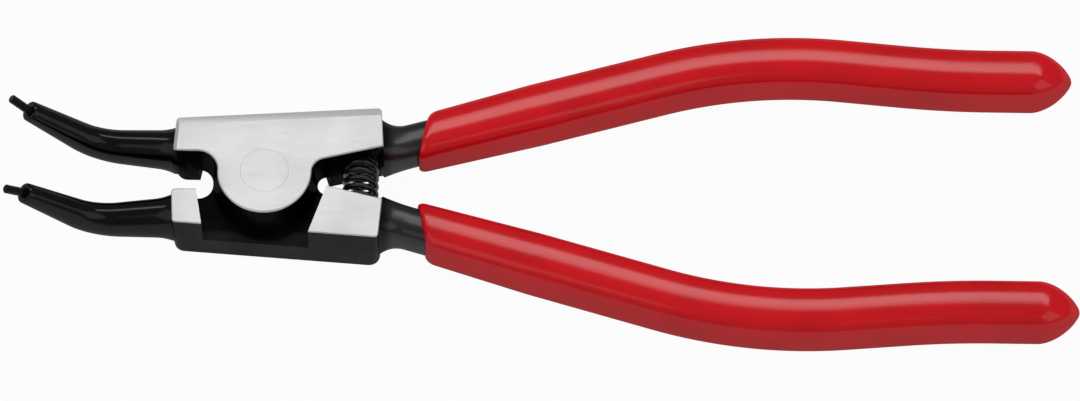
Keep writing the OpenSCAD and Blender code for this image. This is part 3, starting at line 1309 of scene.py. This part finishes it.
def grown(
    name: str,
    seed: bpy.types.Mesh,
    tree: bpy.types.NodeTree,
    sizes: dict[str, float],
    mirror_y: bool = False,
    sharp_angle: float = 50.0,
) -> bpy.types.Object:
    """Grows a piece from a geometry tree and turns it into a plain smooth mesh.

    Args:
        name: Name of the piece.
        seed: Mesh that the tree takes in.
        tree: The geometry tree.
        sizes: The tree's inputs by name.
        mirror_y: Whether the result goes to the other side of the centre line.
        sharp_angle: Angle in degrees past which an edge stays sharp.

    Returns:
        The piece, with no modifier left.
    """
    piece = link(name, seed)
    modifier = piece.modifiers.new("grow", "NODES")
    modifier.node_group = tree
    for item in tree.interface.items_tree:
        if item.in_out == "INPUT" and item.name in sizes:
            modifier[item.identifier] = sizes[item.name]
    settle(piece)
    if mirror_y:
        piece.data.transform(Matrix.Scale(-1, 4, (0, 1, 0)))
    with opened(piece.data) as work:
        bmesh.ops.recalc_face_normals(work, faces=work.faces)
    piece.data.shade_smooth()
    piece.data.set_sharp_from_angle(angle=math.radians(sharp_angle))
    return piece


@dataclass
class CoilSpring:
    """Compression spring between the handles, with a closed turn at each end."""

    x: float = 16.3
    diameter: float = 6.3
    wire: float = 1.05
    turns: int = 10
    seat_y: float = 8.1
    seat_clear: float = 0.15
    closed_pitch: float = 1.15
    steps: int = 40
    sides: int = 16
    seat_sides: int = 64

    def seat(self, mid: float) -> bpy.types.Mesh:
        """Builds the round seat that is bored into the upper lever.

        Args:
            mid: Height of the spring's axis.

        Returns:
            The bore's closed mesh.
        """
        r = self.diameter / 2 + self.seat_clear
        turns = round_turns(self.seat_sides)
        rings = []
        for y in (0.0, self.seat_y):
            points = [(self.x + r * math.cos(t), y, mid + r * math.sin(t)) for t in turns]
            rings.append(np.array(points))
        return lofted("spring_seat", rings)

    @property
    def sizes(self) -> dict[str, float]:
        """The geometry tree's inputs, in metres."""
        run = 2 * (self.seat_y - self.seat_clear) - self.wire
        closed = self.closed_pitch * self.wire
        return {
            "Coil Radius": (self.diameter - self.wire) / 2 * MM,
            "Wire Radius": self.wire / 2 * MM,
            "Closed Rise": closed * MM,
            "Open Rise": (run - 2 * closed) / (self.turns - 2) * MM,
            "Run": run * MM,
        }

    def tree(self, mid: float, material: bpy.types.Material) -> bpy.types.NodeTree:
        """Builds the geometry tree that winds the wire.

        Args:
            mid: Height of the spring's axis.
            material: Finish of the wire.

        Returns:
            The node tree, with the spring's sizes as inputs.
        """
        group = GeometryGroup("wound_spring", tuple(self.sizes))
        tube = group.tube(self.turns * self.steps + 1, self.sides)
        ring, angle = group.ring_and_angle(self.sides)
        turn = ring / self.steps
        last_turn, open_turns = self.turns - 1.0, self.turns - 2.0
        height = (
            group["Closed Rise"] * turn.at_most(1.0)
            + group["Open Rise"] * (turn - 1.0).at_least(0.0).at_most(open_turns)
            + group["Closed Rise"] * (turn - last_turn).at_least(0.0)
            - group["Run"] * 0.5
        )
        wound = turn * (2 * math.pi)
        reach = group["Coil Radius"] + group["Wire Radius"] * angle.call("COSINE")
        place = group.nodes.make(
            "ShaderNodeCombineXYZ",
            {},
            {
                "X": reach * wound.call("COSINE") + self.x * MM,
                "Y": height + group["Wire Radius"] * angle.call("SINE"),
                "Z": reach * wound.call("SINE") + mid * MM,
            },
        )["Vector"]
        group.finish(tube, place, material)
        return group.tree

    def build(self, mid: float, palette: Palette) -> bpy.types.Object:
        """Winds the spring.

        Args:
            mid: Height of the spring's axis.
            palette: The finishes.

        Returns:
            The spring.
        """
        seed = bpy.data.meshes.new("spring_seed")
        spring = grown("coil_spring", seed, self.tree(mid, palette.wire), self.sizes)
        mid * MM
        mid * MM
        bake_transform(spring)
        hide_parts("opening_spring")
        return spring


@dataclass
class DipGrip:
    """Dip-coated sheath that follows the handle, from a slanted lip to a domed end."""

    start: float = 7.2
    slant: float = 28.0
    wall_front: float = 1.05
    wall: float = 1.5
    taper: float = 20.0
    dome: float = 7.0
    gap: float = 0.02
    lip_len: float = 1.6
    lip_wall: float = 0.3
    lip_crowding: float = 2.0
    dome_round: float = 1.75
    dome_tip: float = 1.35
    dome_blunt: float = 0.05
    dome_crowding: float = 1.4
    sides: int = 80
    bore_rings: int = 48
    lip_rings: int = 14
    body_rings: int = 130
    dome_rings: int = 28
    line_points: int = 600

    def sizes(self, handle: Handle, body: JointBody) -> dict[str, float]:
        """Works out the geometry tree's inputs.

        Args:
            handle: The handle's course and core.
            body: The joint body that the handle starts from.

        Returns:
            The sizes by name, in metres.
        """
        lengths = {
            "Start": self.start,
            "Core End": handle.core_len(body) + self.gap,
            "End": handle.path(body).length,
            "Lip Length": self.lip_len,
            "Lip Wall": self.lip_wall,
            "Front Wall": self.wall_front,
            "Wall": self.wall,
            "Taper": self.taper,
            "Dome": self.dome,
        }
        return {name: length * MM for name, length in lengths.items()}

    def tree(self, handle: Handle, body: JointBody, material: bpy.types.Material) -> bpy.types.NodeTree:
        """Builds the geometry tree that lays the sheath along the handle.

        The tube's first rings go up the bore to the lip, and the others along the outside to the dome.

        Args:
            handle: The handle's course and core.
            body: The joint body that the handle starts from.
            material: Finish of the coating.

        Returns:
            The node tree, which takes in the handle's centre line.
        """
        group = GeometryGroup("dip_coating", tuple(self.sizes(handle, body)))
        nodes = group.nodes
        lip_end = self.bore_rings + self.lip_rings
        body_end = lip_end + self.body_rings
        rings = body_end + self.dome_rings
        half_step = 0.5
        tube = group.tube(rings, self.sides)
        ring, angle = group.ring_and_angle(self.sides)

        bored = ring.below(self.bore_rings - half_step)
        bore_share = (ring / (self.bore_rings - 1.0)).clamped()
        lip_share = ((ring - float(self.bore_rings)) / float(self.lip_rings)).clamped()
        body_share = ((ring - float(lip_end)) / float(self.body_rings)).clamped()
        dome_share = (((rings - 1.0) - ring) / (self.dome_rings - 1.0)).clamped() ** self.dome_crowding
        domed = (ring - (body_end - half_step)).call("SIGN").at_least(0.0)

        lip_s = group["Start"] + group["Lip Length"] * lip_share**self.lip_crowding
        body_s = (group["End"] - group["Dome"] - group["Start"] - group["Lip Length"]) * body_share
        outer_s = (lip_s + body_s) * (1.0 - domed) + (group["End"] - group["Dome"] * dome_share) * domed
        bore_s = group["Core End"] + (group["Start"] - group["Core End"]) * bore_share
        s = outer_s * (1.0 - bored) + bore_s * bored

        depth = s - group["Start"]
        tapered = (depth / group["Taper"]).at_most(1.0)
        full = group["Front Wall"] + (group["Wall"] - group["Front Wall"]) * tapered
        along = (1.0 - depth / group["Lip Length"]).clamped()
        hollow = 1.0 - (1.0 - along * along).call("SQRT")
        coat = full - (full - group["Lip Wall"]) * hollow
        bulge = (1.0 - (1.0 - dome_share) ** self.dome_round) ** (1 / self.dome_tip)
        swell = self.dome_blunt + (1 - self.dome_blunt) * bulge
        scale = swell * domed + (1.0 - domed)
        half_w, half_h = (
            (coat + core / 2 * MM) * scale * (1.0 - bored) + bored * ((core / 2 + self.gap) * MM)
            for core in (handle.core_w, handle.core_h)
        )

        power = 2 / handle.squareness
        cos_t, sin_t = angle.call("COSINE"), angle.call("SINE")
        u = half_w * cos_t.call("SIGN") * cos_t.call("ABSOLUTE") ** power
        v = half_h * sin_t.call("SIGN") * sin_t.call("ABSOLUTE") ** power
        lean = math.tan(math.radians(self.slant)) * (1.0 - depth / group["Taper"]).clamped()

        line = nodes.make("GeometryNodeMeshToCurve", {}, {"Mesh": group["Geometry"]})["Curve"]
        spot = nodes.make("GeometryNodeSampleCurve", {"mode": "LENGTH"}, {"Curves": line, "Length": s})
        point = nodes.make("ShaderNodeSeparateXYZ", {}, {0: spot["Position"]})
        ahead = nodes.make("ShaderNodeSeparateXYZ", {}, {0: spot["Tangent"]})
        place = nodes.make(
            "ShaderNodeCombineXYZ",
            {},
            {
                "X": point["X"] - ahead["Y"] * u + lean * u * ahead["X"],
                "Y": point["Y"] + ahead["X"] * u + lean * u * ahead["Y"],
                "Z": v + body.mid * MM,
            },
        )["Vector"]
        group.finish(tube, place, material)
        return group.tree

    def centre_line(self, handle: Handle, body: JointBody) -> bpy.types.Mesh:
        """Draws the handle's centre line.

        Args:
            handle: The handle's course and core.
            body: The joint body that the handle starts from.

        Returns:
            A fine row of points joined by edges.
        """
        path = handle.path(body)

        def build(work: bmesh.types.BMesh) -> None:
            """Adds the points and the edges between them.

            Args:
                work: The bmesh that is filled.
            """
            points = []
            for s in np.linspace(0, path.length, self.line_points):
                x, y, _ = path.at(s)
                points.append(work.verts.new((x * MM, y * MM, body.mid * MM)))
            for pair in zip(points, points[1:]):
                work.edges.new(pair)

        return mesh_from("handle_line", build)

    def build(self, side: Side, handle: Handle, body: JointBody, palette: Palette) -> bpy.types.Object:
        """Builds one grip.

        Args:
            side: The lever that it is on.
            handle: The handle's course and core.
            body: The joint body that the handle starts from.
            palette: The finishes.

        Returns:
            The grip.
        """
        grip = grown(
            f"{side.value}_dip_grip",
            self.centre_line(handle, body),
            self.tree(handle, body, palette.dip),
            self.sizes(handle, body),
            mirror_y=side is Side.LOWER,
        )
        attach(grip, side.body)
        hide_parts(f"{side.value}_grip")
        return grip


@dataclass
class TipPin:
    """Sizes of the hard pin that the jaw's end is bored for."""

    diameter: float = 1.5
    seat: float = 4.5
    step: float = 0.5
    splay: float = 9.0
    press_clear: float = 0.01
    overrun: float = 1.0
    sides: int = 48

    def bore(self, jaw: Jaw, body: JointBody) -> bpy.types.Mesh:
        """Builds the hole for the pin's shank in the upper jaw's end.

        Args:
            jaw: The jaw.
            body: The joint body that the jaw grows out of.

        Returns:
            The hole's closed mesh.
        """
        r = (self.diameter + self.step) / 2 + self.press_clear
        mesh = lofted("pin_bore", [disc(r, z, self.sides) for z in (-self.seat, self.overrun)])
        x, z, heading = jaw.path.at(jaw.path.length)
        mesh.transform(
            body.jaw_root
            @ Matrix.Translation(Vector((x, 0, z)) * MM)
            @ Matrix.Rotation(math.radians(-heading), 4, "Y")
            @ Matrix.Rotation(math.radians(-self.splay), 4, "Z")
            @ Matrix.Rotation(math.radians(90), 4, "Y")
        )
        return mesh


@dataclass
class Lever:
    """One forged lever: joint body, jaw and handle core in one piece."""

    side: Side
    body: JointBody
    jaw: Jaw = field(default_factory=Jaw)
    handle: Handle = field(default_factory=Handle)
    rivet: Rivet = field(default_factory=Rivet)
    spring: CoilSpring = field(default_factory=CoilSpring)
    pin: TipPin = field(default_factory=TipPin)
    ground_reach: float = 0.75
    ground_slope: float = 0.35
    flat_slope: float = 0.99
    end_slack: float = 0.01

    def _turned(self, mesh: bpy.types.Mesh) -> bpy.types.Mesh:
        """Turns a mesh of the upper lever over, for the lower one.

        Args:
            mesh: The mesh, which changes on the lower lever only.

        Returns:
            The same mesh.
        """
        if self.side is Side.LOWER:
            lift = Matrix.Translation((0, 0, self.body.thickness * MM))
            mesh.transform(lift @ Matrix.Rotation(math.pi, 4, "X"))
        return mesh

    def _mirrored(self, mesh: bpy.types.Mesh) -> bpy.types.Mesh:
        """Mirrors a mesh of the upper lever, for the lower one.

        Args:
            mesh: The mesh, which changes on the lower lever only.

        Returns:
            The same mesh.
        """
        if self.side is Side.LOWER:
            mesh.transform(Matrix.Scale(-1, 4, (0, 1, 0)))
            mesh.flip_normals()
        return mesh

    def _on_body(self, x: float, y: float) -> bool:
        """Tells whether a point of the plan lies between the joint body's two end faces.

        Args:
            x: Its place along the tool.
            y: Its place across the tool.

        Returns:
            True on the joint body, and False on the jaw and the handle.
        """
        point = np.array((x, y * self.side.y_sign))
        splay, tilt = math.radians(self.body.jaw_splay), math.radians(self.body.wall_tilt)
        past_front = (point - self.body.front_end) @ (-math.cos(splay), math.sin(splay))
        past_back = (point - self.body.back_end) @ (math.cos(tilt), math.sin(tilt))
        return max(past_front, past_back) < self.end_slack

    def _zone(self, face: bpy.types.MeshPolygon) -> Zone:
        """Chooses a face's finish.

        Args:
            face: A face of the lever.

        Returns:
            Ground for the flat joint faces, a near sheenless black as painted shade for the channel's
            floor, and forged for the rest.
        """
        x, y, z = face.center / MM
        if not self._on_body(x, y):
            return Zone.JAW if x < 0 else Zone.FORGED
        slope = abs(face.normal.z)
        if min(abs(z - self.body.thickness), abs(z)) < self.ground_reach and slope > self.ground_slope:
            return Zone.GROUND
        # Painted shade: the channel's floor lies in shade and gets the near sheenless black.
        if abs(z - self.body.mid) < self.body.cheek_gap and slope > self.flat_slope:
            return Zone.CHANNEL
        return Zone.FORGED

    def _dress(self, piece: bpy.types.Object, palette: Palette) -> None:
        """Gives each face its finish.

        Args:
            piece: The lever.
            palette: The finishes.
        """
        mesh = piece.data
        mesh.materials.clear()
        for material in (palette.forging, palette.ground, palette.channel, palette.jaw):
            mesh.materials.append(material)
        for face in mesh.polygons:
            face.material_index = self._zone(face)

    def build(self, palette: Palette) -> bpy.types.Object:
        """Builds and dresses the lever.

        Args:
            palette: The finishes.

        Returns:
            The lever.
        """
        jaw = link("jaw", self.jaw.build(self.body))
        carve(jaw, self.pin.bore(self.jaw, self.body), Carving.CUT)
        piece = self.body.build()
        piece.name = f"{self.side.value}_forged_lever"
        carve(piece, self.rivet.bore(self.body.thickness), Carving.CUT)
        self._turned(piece.data)
        carve(piece, self._mirrored(jaw.data), Carving.JOIN)
        bpy.data.objects.remove(jaw)
        carve(piece, self._mirrored(self.handle.build_core(self.body)), Carving.JOIN)
        carve(piece, self._mirrored(self.spring.seat(self.body.mid)), Carving.CUT)
        self._dress(piece, palette)
        piece.data.shade_smooth()
        piece.data.set_sharp_from_angle(angle=math.radians(self.body.sharp_angle))
        even = piece.modifiers.new("even_normals", "WEIGHTED_NORMAL")
        even.keep_sharp = True
        settle(piece)
        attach(piece, self.side.body)
        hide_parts(f"{self.side.value}_arm")
        return piece


@dataclass
class TurnedPiece:
    """A turned piece that keeps its CAD shape, with smooth walls and a finish."""

    node: str
    name: str
    body: str
    slot: str
    smooth_angle: float = 30.0

    def build(self, frame: dict[str, Any], material: bpy.types.Material) -> bpy.types.Object:
        """Builds the piece from a merged copy of its CAD node, without the loaded normals.

        Args:
            frame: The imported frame.
            material: Its finish.

        Returns:
            The piece.
        """
        work = bmesh.new()
        work.from_mesh(frame["nodes"][self.node].data)
        bmesh.ops.remove_doubles(work, verts=work.verts, dist=WELD)
        mesh = bpy.data.meshes.new(self.name)
        work.to_mesh(mesh)
        work.free()
        loaded_normals = mesh.attributes.get("custom_normal")
        if loaded_normals is not None:
            mesh.attributes.remove(loaded_normals)
        mesh.materials.clear()
        mesh.materials.append(material)
        mesh.shade_smooth()
        mesh.set_sharp_from_angle(angle=math.radians(self.smooth_angle))
        piece = link(self.name, mesh)
        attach(piece, self.body)
        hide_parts(self.node)
        return piece


@dataclass(frozen=True)
class SoftBox:
    """A rectangular soft lamp, with its place and size in metres and its power in watts."""

    name: str
    place: Place
    size: tuple[float, float]
    power: float

    def hang(self, aim: Place) -> None:
        """Hangs the lamp so that it faces a point.

        Args:
            aim: The point, in metres.
        """
        data = bpy.data.lights.new(self.name, "AREA")
        data.shape = "RECTANGLE"
        data.size, data.size_y = self.size
        data.energy = self.power
        lamp = bpy.data.objects.new(self.name, data)
        turn = (Vector(aim) - Vector(self.place)).to_track_quat("-Z", "Y").to_matrix().to_4x4()
        lamp.matrix_world = Matrix.Translation(self.place) @ turn
        bpy.context.scene.collection.objects.link(lamp)


@dataclass
class Studio:
    """White floor, soft light and the camera of the photograph."""

    elevation: float = 62.0
    roll: float = 0.815
    distance: float = 970.0
    right_of_pivot: float = 47.04
    above_pivot: float = -2.60
    pivot_z: float = 5.5
    lens: float = 188.68
    sensor: float = 36.0
    clip: tuple[float, float] = (0.01, 50.0)
    floor_half: float = 3.0
    floor_gap: float = 0.05
    floor_paint: Colour = (0.58, 0.58, 0.58)
    white: Colour = (1, 1, 1)
    white_share: float = 0.96
    world_light: float = 0.3
    lamp_aim: Place = (0.047, 0, 0.006)
    lamps: tuple[SoftBox, ...] = (
        SoftBox("back_softbox", (0.05, 0.55, 1.01), (1.6, 0.24), 5.8),
        SoftBox("left_softbox", (-0.75, -0.55, 0.75), (1.0, 1.0), 2.5),
        SoftBox("right_softbox", (0.85, -0.55, 0.75), (1.0, 1.0), 2.9),
    )

    def camera(self) -> None:
        """Sets the camera up at the photograph's viewing angle."""
        e, r = math.radians(self.elevation), math.radians(self.roll)
        back = Vector((0, -math.cos(e), math.sin(e)))
        right, up = Vector((1, 0, 0)), Vector((0, math.sin(e), math.cos(e)))
        x_axis = math.cos(r) * right + math.sin(r) * up
        y_axis = math.cos(r) * up - math.sin(r) * right
        place = Vector((0, 0, self.pivot_z)) + self.right_of_pivot * x_axis + self.above_pivot * y_axis
        place = (place + self.distance * back) * MM
        data = bpy.data.cameras.new("camera")
        data.sensor_fit = "HORIZONTAL"
        data.sensor_width = self.sensor
        data.lens = self.lens
        data.clip_start, data.clip_end = self.clip
        camera = bpy.data.objects.new("camera", data)
        turn = Matrix((x_axis, y_axis, back)).transposed().to_4x4()
        camera.matrix_world = Matrix.Translation(place) @ turn
        bpy.context.scene.collection.objects.link(camera)
        bpy.context.scene.camera = camera

    def floor(self) -> None:
        """Lays the white floor, which keeps a soft shadow."""
        half = self.floor_half

        def build(work: bmesh.types.BMesh) -> None:
            """Adds one large face."""
            corners = ((-half, -half), (half, -half), (half, half), (-half, half))
            work.faces.new([work.verts.new((x, y, -self.floor_gap * MM)) for x, y in corners])

        floor = link("floor", mesh_from("floor", build))
        material = bpy.data.materials.new("white_floor")
        nodes = empty_tree(material)
        rays = nodes.make("ShaderNodeLightPath")
        seen = rays["Is Camera Ray"].at_least(rays["Is Glossy Ray"]).at_least(rays["Is Transmission Ray"])
        paint = nodes.make("ShaderNodeBsdfDiffuse", {}, {"Color": rgba(self.floor_paint)})
        glow = nodes.make("ShaderNodeEmission", {}, {"Color": rgba(self.white), "Strength": 1.0})
        inputs = {0: seen * self.white_share, 1: paint["BSDF"], 2: glow["Emission"]}
        mixed = nodes.make("ShaderNodeMixShader", {}, inputs)
        nodes.make("ShaderNodeOutputMaterial", {}, {"Surface": mixed["Shader"]})
        floor.data.materials.append(material)

    def world(self) -> None:
        """Fills the surroundings with pale light, and with white where the camera looks at them."""
        world = bpy.data.worlds.new("studio")
        nodes = empty_tree(world)
        rays = nodes.make("ShaderNodeLightPath")
        strength = self.world_light + (1 - self.world_light) * rays["Is Camera Ray"]
        inputs = {"Color": rgba(self.white), "Strength": strength}
        back = nodes.make("ShaderNodeBackground", {}, inputs)["Background"]
        nodes.make("ShaderNodeOutputWorld", {}, {"Surface": back})
        bpy.context.scene.world = world

    def build(self) -> None:
        """Sets up camera, floor, world and lamps."""
        self.camera()
        self.floor()
        self.world()
        for lamp in self.lamps:
            lamp.hang(self.lamp_aim)
        bpy.context.scene.view_settings.view_transform = "Standard"


def main() -> None:
    """Builds the pliers and the studio round them."""
    logging.basicConfig(level=logging.INFO, format="%(name)s: %(message)s")
    for old in ("Cube", "Light", "Camera"):
        if old in bpy.data.objects:
            bpy.data.objects.remove(bpy.data.objects[old])
    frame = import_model()

    Studio().build()
    palette = Palette()
    pieces = []
    for side in Side:
        lever = Lever(side, JointBody(turned_over=side is Side.LOWER))
        tip = TurnedPiece(f"{side.value}_tip", f"{side.value}_tip_pin", side.body, "tip_steel")
        pieces.append(lever.build(palette))
        pieces.append(DipGrip().build(side, lever.handle, lever.body, palette))
        pieces.append(tip.build(frame, palette.tip))
    rivet = TurnedPiece("pivot_rivet", "flush_rivet", Side.LOWER.body, "ground_steel")
    pieces.append(CoilSpring().build(JointBody().mid, palette))
    pieces.append(rivet.build(frame, palette.ground))
    for piece in pieces:
        LOG.info("%s: %d faces", piece.name, len(piece.data.polygons))

    bpy.context.view_layer.update()


if __name__ == "__main__":
    main()
